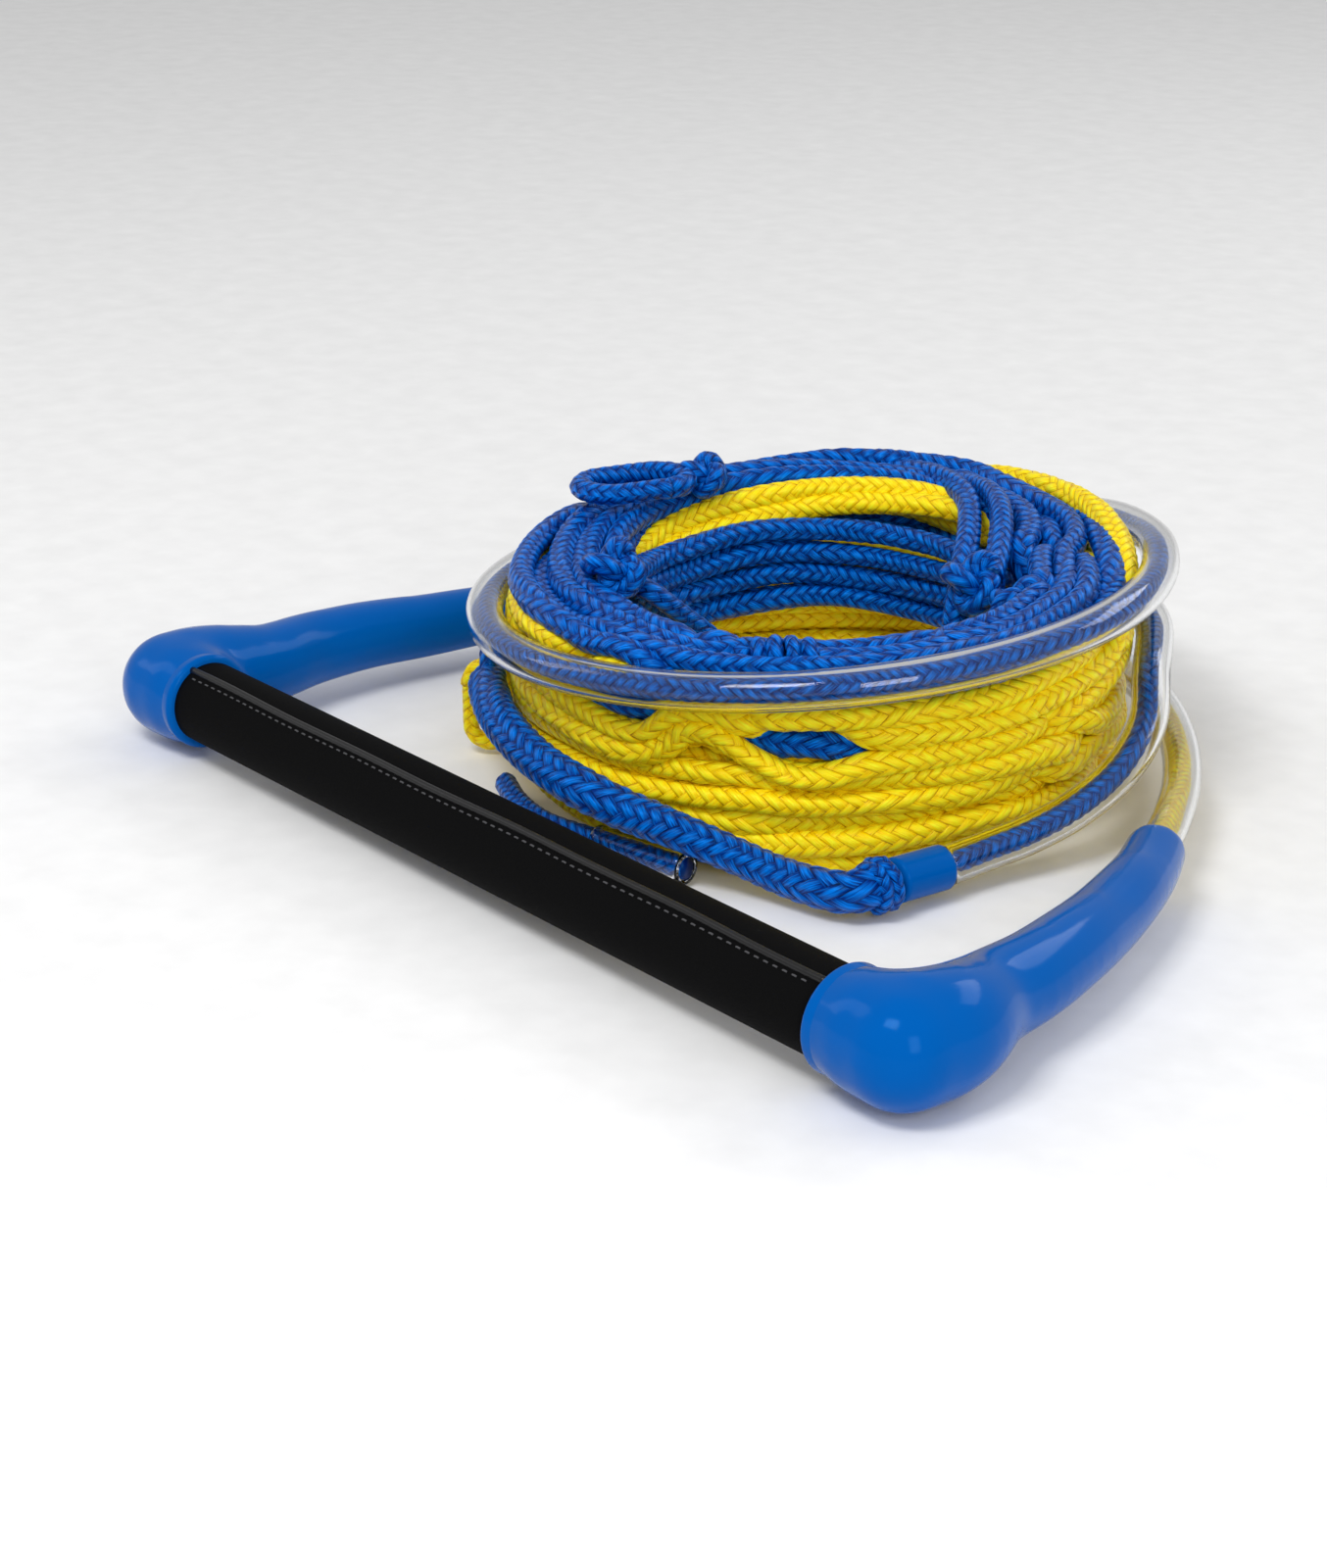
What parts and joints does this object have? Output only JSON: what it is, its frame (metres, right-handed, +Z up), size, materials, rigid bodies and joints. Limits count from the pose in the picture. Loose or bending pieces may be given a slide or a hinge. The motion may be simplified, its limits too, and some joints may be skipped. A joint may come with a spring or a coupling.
{
  "type": "tow rope handle",
  "caption": "Wakeboard tow handle: wrapped bar, two moulded corners with soft arms, clear bridle tubes and a coiled two-colour floating mainline.",
  "frame": {"origin": "on the floor under the middle of the handle, where the bar, caps and arms rest", "axes": "+X along the bar, +Y from the bar towards the coil, +Z up"},
  "size_m": [0.4744, 0.3967, 0.0926],
  "materials": {
    "bar": "mill finish, hidden",
    "foam": "closed-cell foam",
    "grip": "matte wrapped grip",
    "thread": "sewn thread",
    "moulding": "glossy dipped soft plastic",
    "blue_rope": "hollow braid, satin",
    "yellow_rope": "hollow braid, satin",
    "clear_tube": "clear soft tubing"
  },
  "bodies": {
    "handle_and_coil": {"bar_tube": "bar", "bar_float": "foam", "grip_sleeve": "grip", "grip_seam_welt": "grip", "grip_stitching": "thread", "left_bar_bung": "foam", "right_bar_bung": "foam", "left_stopper_knot": "blue_rope", "right_stopper_knot": "yellow_rope", "left_corner_cap": "moulding", "right_corner_cap": "moulding", "left_arm_sleeve": "moulding", "right_arm_sleeve": "moulding", "left_arm_rope": "blue_rope", "right_arm_rope": "yellow_rope", "left_bridle_tube": "clear_tube", "right_bridle_tube": "clear_tube", "left_bridle_rope": "blue_rope", "right_bridle_rope": "yellow_rope", "left_collar": "moulding", "right_collar": "moulding", "left_whipping": "blue_rope", "right_whipping": "yellow_rope", "leader_rope": "blue_rope", "leader_eye": "blue_rope", "mainline_eye": "yellow_rope", "yellow_tail": "yellow_rope", "boat_end_rope": "blue_rope", "chafe_sleeve": "clear_tube", "yellow_coil": "yellow_rope", "blue_coil": "blue_rope", "top_loop_knot": "blue_rope", "hanging_loop_knot": "blue_rope", "front_knot": "blue_rope", "right_knots": "blue_rope"},
    "top_loop": {"top_loop": "blue_rope"},
    "hanging_loop": {"hanging_loop": "blue_rope"}
  },
  "joints": [
    {"name": "top_loop_lift", "type": "hinge", "parent": "handle_and_coil", "child": "top_loop", "pos_m": [-0.09616, 0.16298, 0.0856], "axis": [-0.9632, 0.2689, 0], "range_deg": [0, 75]},
    {"name": "hanging_loop_swing", "type": "hinge", "parent": "handle_and_coil", "child": "hanging_loop", "pos_m": [-0.04923, 0.08713, 0.078], "axis": [0.998, -0.0628, 0], "range_deg": [-12, 60]}
  ]
}
